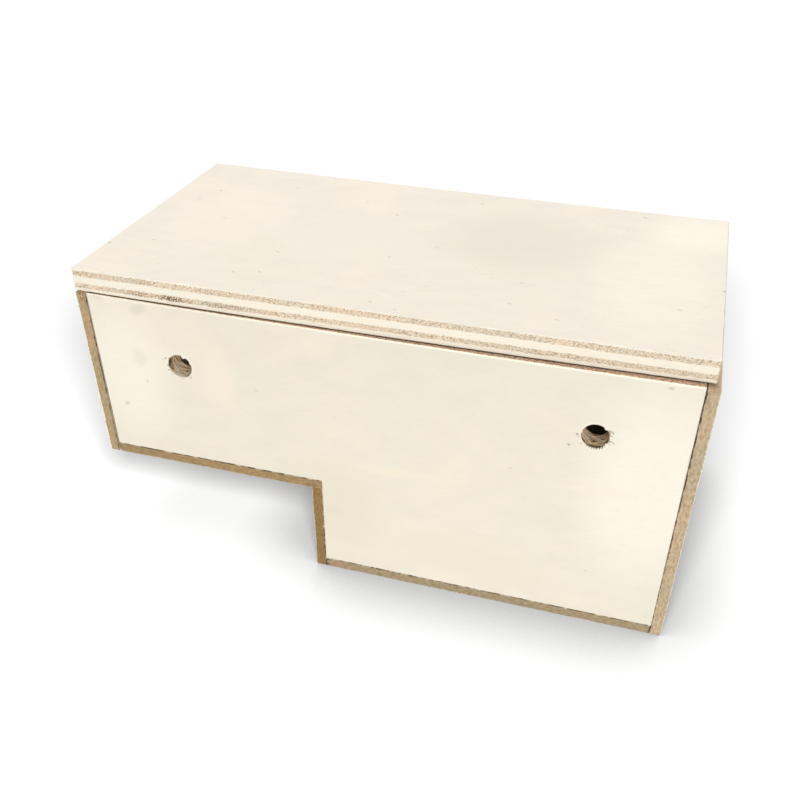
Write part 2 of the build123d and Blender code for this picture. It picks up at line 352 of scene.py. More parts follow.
# Clouds, flecks and debris on the hanging panel's face, on its near side; the broad pale patch on the right is
# partly painted light falling from the front-right, and round the holes lie painted shadows
FACE = -63
PANEL_MARKS = (
    # Partly painted light: the right of the panel is lighter, as light falls from the front-right.
    Mark("#fff9ea", (58, FACE, 72), (34, 3, 62), strength=0.8),
    Mark("#fff9e8", (-150, FACE, 84), (26, 3, 44), strength=0.75),
    Mark("#ebe3cd", (-66, FACE, 34), (32, 3, 34), strength=0.75),
    Mark("#efe6d1", (-8, FACE, 20), (42, 3, 18), strength=0.6),
    Mark("#faefd8", (-36.2, FACE, 57.7), (22, 3, 3.6), -4, 0.55),
    Mark("#fbf0dc", (41, FACE, 66.9), (20, 3, 3), -4, 0.5),
    Mark("#fcefdc", (-110, FACE, 88), (11, 3, 22), strength=0.7),
    Mark("#cfcbb9", (-140.5, FACE, 112.6), (5.2, 3, 3), -20, 0.38),
    Mark("#d9d5c4", (-157, FACE, 115.2), (3.4, 3, 1.6), 0, 0.4),
    Mark("#dedbc9", (-143.2, FACE, 91.4), (5, 3, 6), 0, 0.35),
    Mark("#d8d5c6", (-64.1, FACE, 32.5), (6, 3, 3), 0, 0.2),
    Mark("#b9b4a0", (-141.8, FACE, 80.8), (1, 3, 0.8), 30, 0.5),
    Mark("#c3bfab", (-153.4, FACE, 68), (2, 3, 1.1), -30, 0.6),
    Mark("#d3cebc", (-94.3, FACE, 85), (1.6, 3, 0.7), 0, 0.5),
    Mark("#cfc9b6", (7, FACE, 69.9), (1, 3, 0.5), 0, 0.6),
    Mark("#cfc9b6", (40.2, FACE, 26.9), (1.2, 3, 0.6), 0, 0.5),
    Mark("#c5bfae", (58, FACE, 114.1), (1.6, 3, 0.9), 0, 0.6),
    Mark("#c9c3b0", (66.3, FACE, 8.7), (1, 3, 0.6), 0, 0.6),
)
# Round the left hole: dark ticks that are cracks and painted shadows of lifted flakes, and a grey painted shadow
# line under the lifted lower lip.
LEFT_RIM_CRACKS_AND_PAINTED_SHADOWS = (
    Mark("#8f8a74", (-131.9, FACE, 92.8), (0.95, 3, 0.36), -53, 0.9),
    Mark("#84795c", (-131.4, FACE, 89.7), (0.55, 3, 0.5), 0, 0.9),
    Mark("#98876f", (-131.2, FACE, 87.7), (0.7, 3, 0.42), -60, 0.85),
    Mark("#a9b09c", (-130.2, FACE, 86), (0.6, 3, 0.55), 20, 0.7),
    Mark("#a3a088", (-122, FACE, 85.8), (0.9, 3, 0.4), -60, 0.85),
    Mark("#bdb3a0", (-125.9, FACE, 84.75), (2, 3, 0.36), 6, 0.8),
)
# Round the right hole: dark specks of debris, painted shadows of splinters and of gaps under flakes, and a near
# black painted slit of shade.
RIGHT_RIM_DEBRIS_AND_PAINTED_SHADOWS = (
    Mark("#58503c", (40.5, FACE, 93.45), (1.5, 3, 0.34), 15, 0.9),
    Mark("#6f6a58", (41.8, FACE, 92.75), (0.95, 3, 0.32), 50, 0.9),
    Mark("#6d6852", (41.1, FACE, 91.4), (1.4, 3, 0.34), 3, 0.9),
    Mark("#1f1a14", (40.3, FACE, 92.5), (0.85, 3, 0.5), 20, 0.95),
    Mark("#5f5444", (40.9, FACE, 89), (0.7, 3, 0.26), 35, 0.9),
    Mark("#5f5444", (41.7, FACE, 89), (0.6, 3, 0.26), -35, 0.9),
    Mark("#6c6250", (42.5, FACE, 88.6), (0.9, 3, 0.28), 48, 0.85),
    Mark("#c3b7a0", (41, FACE, 87.9), (1.4, 3, 0.34), 0, 0.7),
    Mark("#8d897a", (29.6, FACE, 89.9), (0.9, 3, 0.6), 25, 0.8),
    Mark("#a9a593", (30.2, FACE, 88.9), (0.5, 3, 0.6), 0, 0.6),
    Mark("#a9a090", (31.3, FACE, 86.4), (0.65, 3, 0.5), 0, 0.75),
    Mark("#b5a894", (27.1, FACE, 84.9), (1.1, 3, 0.65), 25, 0.85),
)
# Clouds, flecks and pores on top of the lid, with the two broad pale patches on its right partly painted light
# falling from the right, and the scorched stretch on its near edge
TOP = 125.4
LID_MARKS = (
    Mark("#eeeadb", (-75, -5, TOP), (44, 38, 3), strength=0.55),
    Mark("#e5decf", (-9, 16, TOP), (46, 40, 3), strength=0.75),
    Mark("#faefe0", (-132, 4.5, TOP), (34, 50, 3), strength=0.5),
    # Partly painted light: the lid's right is lighter, as light falls from the right.
    Mark("#fff6e6", (46, -9, TOP), (34, 66, 3), strength=0.45),
    Mark("#fffae8", (58, 44, TOP), (26, 30, 3), strength=0.6),
    Mark("#8d8776", (-149.1, 30, TOP), (1.5, 0.6, 3), -20, 0.52),
    Mark("#a59d8a", (-150.3, -28.2, TOP), (1.6, 0.7, 3), -20, 0.45),
    Mark("#958d7c", (56.4, -27.4, TOP), (1.4, 0.7, 3), -20, 0.45),
    Mark("#958d7c", (37.3, 56.3, TOP), (1.6, 0.8, 3), -10, 0.45),
    Mark("#8f8878", (-65.1, 27.3, TOP), (1.7, 0.7, 3), -30, 0.45),
    Mark("#b3ab9a", (-153.8, 19, TOP), (1.2, 0.6, 3), -20, 0.45),
    Mark("#b3ab9a", (-117.5, 44, TOP), (1.4, 0.6, 3), -20, 0.45),
    Mark("#aaa291", (-81.6, 37.1, TOP), (1.3, 0.6, 3), -30, 0.45),
    Mark("#b3ab9a", (-133.4, 1, TOP), (1.3, 0.6, 3), -30, 0.41),
    Mark("#a49c8b", (-98.5, -23.5, TOP), (1.8, 0.6, 3), -35, 0.45),
    Mark("#a49c8b", (-97.9, -42.5, TOP), (1.6, 0.6, 3), -30, 0.49),
    Mark("#9f9786", (-107.3, -45.5, TOP), (1.6, 0.7, 3), -40, 0.49),
    Mark("#a8a08f", (-55.2, -14.6, TOP), (1.5, 0.6, 3), -30, 0.45),
    Mark("#9c9584", (-50.3, -53.3, TOP), (1.4, 0.7, 3), -40, 0.49),
    Mark("#b0a897", (-40, -56.5, TOP), (1.3, 0.6, 3), -20, 0.45),
    Mark("#aca493", (-2.2, -40, TOP), (1.8, 0.6, 3), -35, 0.45),
    Mark("#a9a190", (15.9, -47.1, TOP), (1.6, 0.7, 3), -30, 0.45),
    Mark("#b0a897", (-1.1, -21.9, TOP), (1.5, 0.6, 3), -25, 0.45),
    Mark("#b0a897", (-39.7, -0.1, TOP), (1.5, 0.6, 3), -25, 0.41),
    Mark("#a39b8a", (-32.9, 50.9, TOP), (1.5, 0.7, 3), -20, 0.45),
    Mark("#7d6a55", (-165.4, -36.4, TOP), (1.0, 1.0, 3), 0, 0.45),
    Mark("#8a7a64", (71.6, -7.6, TOP), (1.4, 0.8, 3), 40, 0.52),
)
SCORCHES = (
    Mark("#4e3210", (-125.8, -61.7, 118.3), (8.4, 2, 1.8), 0, 0.95),
    Mark("#8a6238", (-138.8, -61.7, 118.3), (8.5, 2, 1.7), 0, 0.6),
    Mark("#83796a", (-105, -61.3, 118.3), (19, 2, 1.9), 0, 0.5),
)

# Darker ends on the strips' edges, where the tops of the two end strips are partly painted shade under the lid's
# edge; and the scorched and the pale parts of the two drilled walls, with painted shade on the left hole's upper
# and left wall and the pale patches partly painted light
STRIP_MARKS = {
    # Partly painted shade: the strip's top under the lid's edge, darker brown than its front edge.
    "shallow_end_panel": (Mark("#7d6446", (-165, -63, 115), (5, 4, 3), 0, 0.5),),
    "shallow_floor": (Mark("#8f5f45", (-73, -63, 43.4), (5.5, 4, 0.9), 0, 0.7),),
    "nest_floor": (
        Mark("#b98a78", (-64.5, -63, 2), (5, 4, 2), 0, 0.6),
        Mark("#3d2412", (-69, -63, 2.6), (1.6, 4, 3.4), 0, 1),
        Mark("#3d2412", (69.3, -63, 2.6), (0.9, 4, 3.6), 0, 0.9),
    ),
    # Partly painted shade: the strip's top in front of the lid's edge, darkened as the lid shades it, over its
    # brown end grain.
    "deep_end_panel": (Mark("#8c5f3c", (71.6, -61, 116.2), (5, 5, 1.6), 0, 0.95),),
}
WALL_MARKS = (
    # Left hole: the dark patch on its left wall and the dark line along its top under the rim are painted shade;
    # the pale patches in both holes are partly painted light.
    Mark("#4d2a12", (-130.8, -61.6, 91), (1.6, 2.4, 3.8), 0, 0.9),
    Mark("#f6dcbc", (-130.2, -58.2, 90.6), (1.2, 1.3, 3.2), 0, 0.85),
    Mark("#54502f", (-127.5, -62, 95), (3.4, 1.6, 1.1), 0, 0.85),
    Mark("#fff6e2", (-127, -62, 85.6), (4.4, 1.7, 1.9), 0, 1),
    Mark("#f3dfc0", (-129.2, -59.2, 88.3), (1.6, 2.2, 2.4), 0, 0.7),
    Mark("#fff4de", (32.4, -60, 88.6), (2.9, 1.5, 3.2), 0, 1),
    Mark("#6f6a5a", (33.4, -57.6, 87.4), (3.2, 0.9, 2.6), 0, 0.8),
    Mark("#5c3518", (32.2, -62.3, 88), (2.2, 0.9, 4.2), 0, 0.95),
    Mark("#8a4f38", (39.9, -61.4, 88.2), (1.7, 2, 2.4), 0, 0.85),
    Mark("#5d4c28", (36.2, -62.1, 85.4), (4.2, 1.1, 1.3), 0, 0.85),
)


def ply_bands(tree, vector, node, shares):
    """0 in the plies that run with the face veneers and 1 in the cross plies between them."""
    low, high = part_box(node)
    axis = BOARDS[node][0]
    place = add_node(tree, "SeparateXYZ", {0: vector}).outputs[axis]
    waver = add_node(tree, "TexNoise", {"Vector": vector, "Scale": per_mm(9), "Detail": 2.0})
    fray = add_node(tree, "TexNoise", {"Vector": vector, "Scale": per_mm(0.9), "Detail": 1.0})
    depth = spread_linear(tree, place, low[axis], high[axis])
    thickness = (high[axis] - low[axis]) / MM
    shift = compute(tree, "MULTIPLY", compute(tree, "SUBTRACT", waver.outputs["Fac"], 0.5), 0.3 / thickness)
    frayed = compute(tree, "MULTIPLY", compute(tree, "SUBTRACT", fray.outputs["Fac"], 0.5), 0.9 / thickness)
    depth = compute(tree, "ADD", compute(tree, "ADD", depth, shift), frayed)
    bands = add_node(tree, "ValToRGB", {0: depth})
    stops = bands.color_ramp
    stops.interpolation = "CONSTANT"
    edge = 0.0
    for i, share in enumerate(shares):
        stop = stops.elements[i] if i < 2 else stops.elements.new(edge)
        stop.position = edge
        stop.color = (i % 2,) * 3 + (1,)
        edge += share
    return bands.outputs[0]


def spread_linear(tree, value, low, high):
    """A value taken from one range to 0 to 1 in a straight line."""
    node = add_node(tree, "MapRange", {"Value": value, "From Min": low, "From Max": high}, clamp=False)
    return node.outputs["Result"]


def ramp_grey(tree, value, low, high, darkest=0.0):
    """A grey that goes from the darkest to white as the value goes from low to high."""
    node = add_node(tree, "ValToRGB", {0: value})
    node.color_ramp.elements[0].position = low
    node.color_ramp.elements[0].color = solid([darkest] * 3)
    node.color_ramp.elements[1].position = high
    return node.outputs[0]


def face_veneer(tree, vector, grain, tone, look, flecks):
    """Sanded pale veneer: soft clouds, a faint blotched figure and short flecks along the grain."""
    cloud = add_node(tree, "TexNoise", {"Vector": vector, "Scale": per_mm(55), "Detail": 2.0})
    cloud = cloud.outputs["Fac"]
    colour = blend(tree, spread(tree, cloud, 0.54, 0.74, 0, 0.45), solid(tone), solid(look.cool_cloud))
    colour = blend(tree, spread(tree, cloud, 0.47, 0.3, 0, 0.6), colour, solid(look.warm_cloud))
    blotch = grained(tree, vector, along(grain, 16, 9), detail=3)
    colour = blend(tree, 1.0, colour, ramp_grey(tree, blotch, 0.3, 0.62, 0.965), "MULTIPLY")
    fibre = grained(tree, vector, along(grain, 5, 0.5), detail=2)
    colour = blend(tree, 1.0, colour, ramp_grey(tree, fibre, 0.3, 0.6, 0.97), "MULTIPLY")
    dash = grained(tree, vector, along(grain, 1.9, 0.5), detail=1.5)
    patch = add_node(tree, "TexNoise", {"Vector": vector, "Scale": per_mm(13), "Detail": 1.0})
    few = spread(tree, patch.outputs["Fac"], 0.5, 0.68)
    short = compute(tree, "MULTIPLY", spread(tree, dash, 0.7 - flecks, 0.78 - flecks), few)
    return blend(tree, compute(tree, "MULTIPLY", short, 0.5), colour, solid(look.fleck)), fibre


def cut_fibres(tree, tone, pale, speck, stretch, contrast):
    """Fibres cut across: brown pores, the ply's own tone and pale fibres, pinker in one stretch
    and greyer in the next."""
    shade = add_node(tree, "ValToRGB", {0: speck})
    low, high = shade.color_ramp.elements
    pore = 1 - 0.55 * contrast
    low.position, low.color = 0.36, solid([c * pore * k for c, k in zip(tone, (1, 0.94, 0.82))])
    lightest = [min(p, 2 * c) for c, p in zip(tone, pale)]
    high.position, high.color = 0.64, solid([c + (p - c) * 0.5 * contrast for c, p in zip(tone, lightest)])
    between = shade.color_ramp.elements.new(0.5)
    between.color = solid(tone)
    tint = blend(tree, spread(tree, stretch, 0.36, 0.64), (0.95, 0.97, 0.97, 1), (1.04, 0.99, 0.97, 1))
    return blend(tree, 1.0, shade.outputs[0], tint, "MULTIPLY")


def drilled_wall(tree, vector, look):
    """The rough wall of a drilled hole: thin rings of scorched, plain and pale wood, with patches of painted
    shade and of partly painted light.
    """
    rings = grained(tree, vector, (2.6, 0.7, 2.6), detail=2.5, roughness=0.6)
    node = add_node(tree, "ValToRGB", {0: rings})
    low, high = node.color_ramp.elements
    low.position, low.color = 0.36, solid(look.wall_dark)
    high.position, high.color = 0.58, solid(look.wall_light)
    between = node.color_ramp.elements.new(0.46)
    between.color = solid(look.wall_middle)
    colour = node.outputs[0]
    for mark in WALL_MARKS:
        share = compute(tree, "MULTIPLY", spot(tree, vector, mark, Y), spread(tree, rings, 0.3, 0.5, 0.6, 1))
        colour = blend(tree, share, colour, solid(linear(mark.tone)))
    return colour


def under_lid(tree, vector):
    """1 on the line of the hanging panel's top edge just behind the lid's near edge, where the shade under the
    lid is painted.
    """
    panel_low, lid_low, lid_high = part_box("hanging_panel")[0], *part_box("lid")
    slope = (SETBACK_DEEP - SETBACK_SHALLOW) * MM / (lid_high.x - lid_low.x)
    edge = panel_low.y + SETBACK_SHALLOW * MM - slope * lid_low.x
    across = add_node(tree, "VectorMath", {0: vector, 1: (-slope, 1, 0)}, operation="DOT_PRODUCT")
    across = across.outputs["Value"]
    begins = spread(tree, across, edge - 0.55 * MM, edge - 0.05 * MM)
    return compute(tree, "MULTIPLY", begins, spread(tree, across, edge + 1.2 * MM, edge + 2.8 * MM, 1, 0.12))


def plywood_material(
    name, node, shares, tone, look, flecks=0.0, marks=(), edge_marks=(), pores=(0.85, 0.5, 0.42), contrast=1.0
):
    """Birch-like hardwood plywood, sawn and sanded: satin pale veneer on the flats, and on the
    edges bands of pale and of brown plies, which scatter light more dully where they are cut."""
    material, tree, shader = new_material(name)
    axis, grain, cross = BOARDS[node]
    coordinates = add_node(tree, "TexCoord")
    vector = coordinates.outputs["Object"]
    normal = add_node(tree, "SeparateXYZ", {0: coordinates.outputs["Normal"]})
    bands = ply_bands(tree, vector, node, shares)
    with_face = spread(tree, compute(tree, "ABSOLUTE", normal.outputs[grain]), 0.35, 0.8)
    with_cross = spread(tree, compute(tree, "ABSOLUTE", normal.outputs[cross]), 0.35, 0.8)
    on_flat = spread(tree, compute(tree, "ABSOLUTE", normal.outputs[axis]), 0.55, 0.85)
    veneer, fibre = face_veneer(tree, vector, grain, tone, look, flecks)
    for mark in marks:
        share = compute(tree, "MULTIPLY", spot(tree, vector, mark, axis), spread(tree, fibre, 0.3, 0.5, 0.7, 1))
        veneer = blend(tree, share, veneer, solid(linear(mark.tone)))
    slant = 0 if node in STRIPS else radians(-34)
    speck = grained(tree, vector, pores, detail=2.0, roughness=0.6, slant=slant)
    stretch = add_node(tree, "TexNoise", {"Vector": vector, "Scale": per_mm(22), "Detail": 2.0})
    stretch = stretch.outputs["Fac"]
    brown = getattr(look, "edge_" + node)
    cut_brown = cut_fibres(tree, brown, look.side_grain, speck, stretch, contrast)
    cut_pale = cut_fibres(tree, look.end_grain, look.side_grain, speck, stretch, 0.8 * contrast)
    fine = ramp_grey(tree, fibre, 0.3, 0.6, 0.9)
    plain_brown = blend(tree, 1.0, solid(brown), fine, "MULTIPLY")
    plain_pale = blend(tree, 0.5, solid(look.side_grain), fine, "MULTIPLY")
    pale = blend(tree, with_face, plain_pale, cut_pale)
    cross_ply = blend(tree, with_cross, plain_brown, cut_brown)
    edge = blend(tree, bands, pale, cross_ply)
    for mark in edge_marks:
        scorched = compute(tree, "MULTIPLY", spot(tree, vector, mark, axis), spread(tree, speck, 0.62, 0.45))
        edge = blend(tree, scorched, edge, solid(linear(mark.tone)))
    # Painted shade under the lid: the panel's top edge just behind the lid's near edge is darkened with the
    # groove colour.
    if node == "hanging_panel":
        lid_shade = compute(tree, "MULTIPLY", under_lid(tree, vector), compute(tree, "MAXIMUM", normal.outputs[Z], 0))
        edge = blend(tree, compute(tree, "MULTIPLY", lid_shade, 0.9), edge, solid(look.groove))
    colour = blend(tree, on_flat, edge, veneer)
    # Pale ring round each hole's rim: lifted fibre, partly a painted highlight.
    raised = add_node(tree, "Attribute", attribute_name="raised").outputs["Fac"]
    colour = blend(tree, raised, colour, solid(look.side_grain))
    torn = add_node(tree, "Attribute", attribute_name="torn").outputs["Fac"]
    raw = blend(tree, spread(tree, speck, 0.4, 0.62), cut_brown, solid(look.torn))
    colour = blend(tree, torn, colour, raw)
    if node == "hanging_panel":
        wall = add_node(tree, "Attribute", attribute_name="wall").outputs["Fac"]
        colour = blend(tree, wall, colour, drilled_wall(tree, vector, look))
    groove = add_node(tree, "Attribute", attribute_name="groove").outputs["Fac"]
    patchy = add_node(tree, "TexNoise", {"Vector": vector, "Scale": per_mm(3), "Detail": 2.0})
    groove = compute(tree, "MULTIPLY", groove, spread(tree, patchy.outputs["Fac"], 0.36, 0.6, 0.3, 0.95))
    colour = blend(tree, groove, colour, solid(look.groove))
    tree.links.new(colour, shader.inputs["Base Color"])
    cut = add_node(tree, "Mix", {0: bands, 2: with_face, 3: with_cross}, data_type="FLOAT").outputs[0]
    tree.links.new(spread(tree, cut, 0, 1, 0.6, 0.86), shader.inputs["Roughness"])
    height = add_node(tree, "Mix", {0: cut, 2: fibre, 3: speck}, data_type="FLOAT").outputs[0]
    bump = add_node(tree, "Bump", {"Strength": 0.3, "Distance": 0.06 * MM, "Height": height})
    tree.links.new(bump.outputs[0], shader.inputs["Normal"])
    shader.inputs["IOR"].default_value = 1.5
    return material


# Steel


def plated_steel(name, tone, roughness, drawn_axis):
    """Pressed steel with bright zinc plating: soft grey gloss with fine drawing marks."""
    material, tree, shader = new_material(name)
    vector = add_node(tree, "TexCoord").outputs["Object"]
    drawn = grained(tree, vector, along(drawn_axis, 6, 0.09), detail=2)
    spangle = add_node(tree, "TexNoise", {"Vector": vector, "Scale": per_mm(2.2), "Detail": 3.0})
    spangle = spangle.outputs["Fac"]
    dull = tuple(c * 0.72 for c in tone)
    colour = blend(tree, spread(tree, spangle, 0.4, 0.75), solid(tone), solid(dull))
    tree.links.new(colour, shader.inputs["Base Color"])
    tree.links.new(
        spread(tree, drawn, 0.3, 0.7, roughness - 0.08, roughness + 0.1), shader.inputs["Roughness"]
    )
    bump = add_node(tree, "Bump", {"Strength": 0.2, "Distance": 0.02 * MM, "Height": drawn})
    tree.links.new(bump.outputs[0], shader.inputs["Normal"])
    shader.inputs["Metallic"].default_value = 1.0
    return material


# Mesh helpers

# What a corner of a face may carry for the material: broken veneer; joints, and painted shade in the notches of a
# split lip; pale lifted fibre with a painted highlight round a hole's rim; hole
LAYERS = ("torn", "groove", "raised", "wall")


def smooth_noise(point, size, seed=0.0):
    """Noise from 0 to 1 whose features are about as long as size."""
    return 0.5 + 0.5 * noise.noise(point / size + Vector((seed, seed, seed)))


def ramp(value, low, high):
    """0 below low, 1 above high and smooth between them."""
    share = min(1, max(0, (value - low) / (high - low)))
    return share * share * (3 - 2 * share)


def merged_copy(node):
    """A node's mesh with its loose triangles joined and its flat faces made whole."""
    bm = bmesh.new()
    bm.from_mesh(frame["nodes"][node].data)
    for face in bm.faces:
        face.smooth = False
    bmesh.ops.remove_doubles(bm, verts=bm.verts[:], dist=0.002 * MM)
    bmesh.ops.dissolve_limit(bm, angle_limit=radians(1), verts=bm.verts[:], edges=bm.edges[:])
    for layer in LAYERS:
        bm.loops.layers.float.new(layer)
    return bm


def finish_piece(bm, name, node, material, body):
    """Turn a bmesh into a piece that stands for a node and rides on its body."""
    mesh = bpy.data.meshes.new(name)
    bm.to_mesh(mesh)
    bm.free()
    mesh.materials.append(material)
    piece = bpy.data.objects.new(name, mesh)
    bpy.context.scene.collection.objects.link(piece)
    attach(piece, body)
    if node:
        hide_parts(node)
    return piece


def lies_flat(face):
    """Whether a face is square to one of the axes, as the boards' flats are."""
    return max(abs(part) for part in face.normal) > 0.9995


def wear_edges(bm, edges, seed):
    """Round a board's long outer edges and wear them unevenly, always inwards.
    The flats stay flat: a corner that lies in a flat slides within it."""
    outer = [
        e
        for e in bm.edges
        if len(e.link_faces) == 2
        and e.is_convex
        and e.calc_length() > edges.shortest
        and e.calc_face_angle() > radians(30)
    ]
    by_cuts = {}
    for edge in outer:
        edge.seam = True
        by_cuts.setdefault(int(edge.calc_length() / edges.step), []).append(edge)
    for cuts, group in by_cuts.items():
        if cuts:
            bmesh.ops.bisect_edges(bm, edges=group, cuts=cuts)
    rounded = bmesh.ops.bevel(
        bm,
        geom=[e for e in bm.edges if e.seam],
        affect="EDGES",
        offset=edges.rounding,
        offset_type="OFFSET",
        segments=2,
        profile=0.5,
        clamp_overlap=True,
        material=-1,
    )["faces"]
    rounded = {f for f in rounded if not lies_flat(f)}
    bm.normal_update()
    moves = []
    for vertex in {v for f in rounded for v in f.verts}:
        inward = -vertex.normal
        for face in vertex.link_faces:
            if lies_flat(face):
                inward = inward - face.normal * inward.dot(face.normal)
        if inward.length < 0.05:
            continue
        place = vertex.co
        wear = edges.wear * ramp(smooth_noise(place, edges.wear_span, seed), 0.35, 0.75)
        wave = edges.wave * smooth_noise(place, edges.wave_span, seed + 7)
        chip = edges.chip * ramp(smooth_noise(place, edges.chip_span, seed + 19), 0.8, 0.88)
        moves.append((vertex, inward.normalized() * (wear + wave + chip), chip / edges.chip))
    torn = bm.loops.layers.float["torn"]
    low = Vector([min(v.co[i] for v in bm.verts) for i in range(3)])
    high = Vector([max(v.co[i] for v in bm.verts) for i in range(3)])
    for vertex, move, chipped in moves:
        place = vertex.co + move
        vertex.co = [min(max(place[i], low[i]), high[i]) for i in range(3)]
        for loop in vertex.link_loops:
            if loop.face in rounded:
                loop[torn] = 0.5 * chipped
    for face in rounded:
        face.smooth = True


def mark_joint(bm, is_joint):
    """Mark the slanted faces along a joint, where glue and dust lie between two boards."""
    groove = bm.loops.layers.float["groove"]
    bm.normal_update()
    for face in bm.faces:
        if not lies_flat(face) and is_joint(face.calc_center_median()):
            for loop in face.loops:
                loop[groove] = 1.0


def bow(x, low, high):
    """How far along the lid's bow a place is: 0 at both ends of the lid and 1 in its middle."""
    share = (x - low.x) / (high.x - low.x)
    return 4 * share * (1 - share)


def close_flats(bm):
    """Split the many-sided flats into triangles, so that they stay as they are drawn."""
    wide = [f for f in bm.faces if len(f.verts) > 4]
    bmesh.ops.triangulate(bm, faces=wide, quad_method="BEAUTY", ngon_method="BEAUTY")


# Drilled holes

# How far the rings of a hole stand out of its rim, on the near face and on the far face, in
# millimetres, and the two small rings that round the rim, as outset and depth
NEAR_RINGS = (4.1, 3.6, 3.2, 2.85, 2.5, 2.2, 1.9, 1.65, 1.4, 1.2, 1.0, 0.8, 0.62, 0.45, 0.3)
RIM_RINGS = ((0.16, 0.02), (0.04, 0.08))
FAR_RINGS = (0.4, 1.2, 2.2)


class Rim(NamedTuple):
    """How the drill left one hole. All angles are in degrees from +X: where the veneer tore, as
    angle and strength, where a flake of veneer stays over the hole, as angle, length in
    millimetres and half width, and between which angles the lower lip is split like a comb."""

    seed: float
    tears: tuple
    flakes: tuple
    comb: tuple


RIMS = (
    Rim(4.0, ((150, 0.4), (185, 0.45), (206, 0.4), (224, 0.35), (310, 0.4)), ((66, 1.1, 13), (22, 0.4, 8)), ()),
    Rim(9.0, ((27, 0.6), (-12, 0.5), (182, 0.3)), ((48, 0.5, 9), (-33, 0.5, 7)), (-132, -38)),
)


def turn_between(angle, at):
    """How far apart two angles are, in degrees."""
    return abs((angle - at + 180) % 360 - 180)


def torn_share(point, centre, radius, tears, reach):
    """How torn the face veneer is at a point: slivers along the grain, most where the drill caught."""
    away = Vector((point.x - centre.x, 0, point.z - centre.z))
    beyond = away.length - radius
    if beyond > reach:
        return 0.0
    angle = degrees(atan2(away.z, away.x))
    pull = 0.0
    for at, strength in tears:
        pull = max(pull, strength * exp(-((turn_between(angle, at) / 12) ** 2)))
    fibre = noise.noise(Vector((point.x / (1.9 * MM), 0, point.z / (0.3 * MM))))
    share = 0.32 * fibre + pull - 1.05 * max(0, beyond) / reach
    return ramp(share, 0.05, 0.28)


def hole_rings(thickness, step):
    """The rings of a hole from the near face to the far face, as outset and depth in metres."""
    rings = [(outset * MM, 0.0) for outset in NEAR_RINGS]
    rings += [(outset * MM, depth * MM) for outset, depth in RIM_RINGS]
    count = int(thickness / step)
    rings += [(0.0, thickness * i / count) for i in range(1, count)]
    return rings + [(outset * MM, thickness) for outset in FAR_RINGS]


def drill_hole(bm, centre, radius, thickness, holes, rim):
    """Make one drilled hole as rings from the panel's near face to its far face, and shape them."""
    rings = hole_rings(thickness, holes.wall_step)
    outset, depth = rings[0]
    made = bmesh.ops.create_circle(
        bm,
        cap_ends=False,
        radius=radius + outset,
        segments=holes.segments,
        matrix=Matrix.Translation(centre) @ Matrix.Rotation(pi / 2, 4, "X"),
    )
    ring = list({e for v in made["verts"] for e in v.link_edges})
    verts = list(made["verts"])
    for next_outset, next_depth in rings[1:]:
        grown = bmesh.ops.extrude_edge_only(bm, edges=ring)["geom"]
        fresh = [g for g in grown if isinstance(g, bmesh.types.BMVert)]
        ring = [g for g in grown if isinstance(g, bmesh.types.BMEdge) and all(v in fresh for v in g.verts)]
        factor = (radius + next_outset) / (radius + outset)
        bmesh.ops.scale(bm, vec=(factor, 1, factor), verts=fresh, space=Matrix.Translation(-centre))
        bmesh.ops.translate(bm, vec=(0, next_depth - depth, 0), verts=fresh)
        outset, depth = next_outset, next_depth
        verts += fresh
    for vertex in verts:
        shape_corner(bm, vertex, centre, radius, thickness, holes, rim)
    for face in {f for v in verts for f in v.link_faces}:
        face.smooth = True


